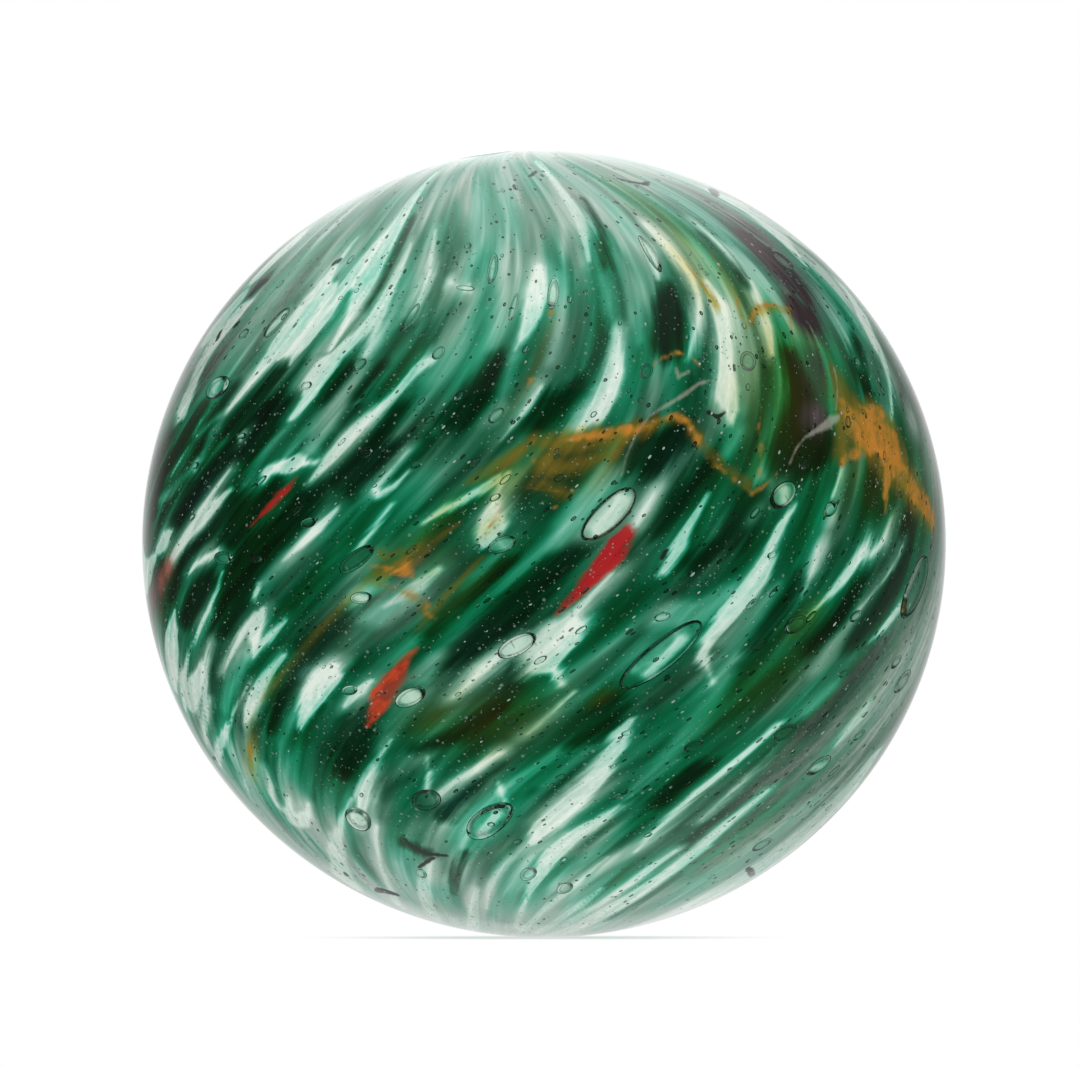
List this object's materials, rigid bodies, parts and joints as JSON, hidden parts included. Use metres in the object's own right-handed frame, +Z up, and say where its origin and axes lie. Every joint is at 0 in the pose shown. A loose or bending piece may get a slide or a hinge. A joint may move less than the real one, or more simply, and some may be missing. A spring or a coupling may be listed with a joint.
{
  "type": "glass marble",
  "caption": "Large handmade solid glass marble, slightly flattened, with a swirled green and white core under clear glass and a small pontil flat near its top.",
  "frame": {"origin": "centre of the ball, midway between its poles", "axes": "+Z up, through the pole nearest the small pontil flat, which leans about 8.5 degrees from it towards -X; -Y is the side with the red and amber streaks"},
  "size_m": [0.038, 0.038, 0.0372],
  "materials": {
    "glass": "fire-polished clear glass over an opaque green and white swirl, with fine bubbles"
  },
  "bodies": {
    "root": {"marble": "glass"}
  },
  "joints": []
}
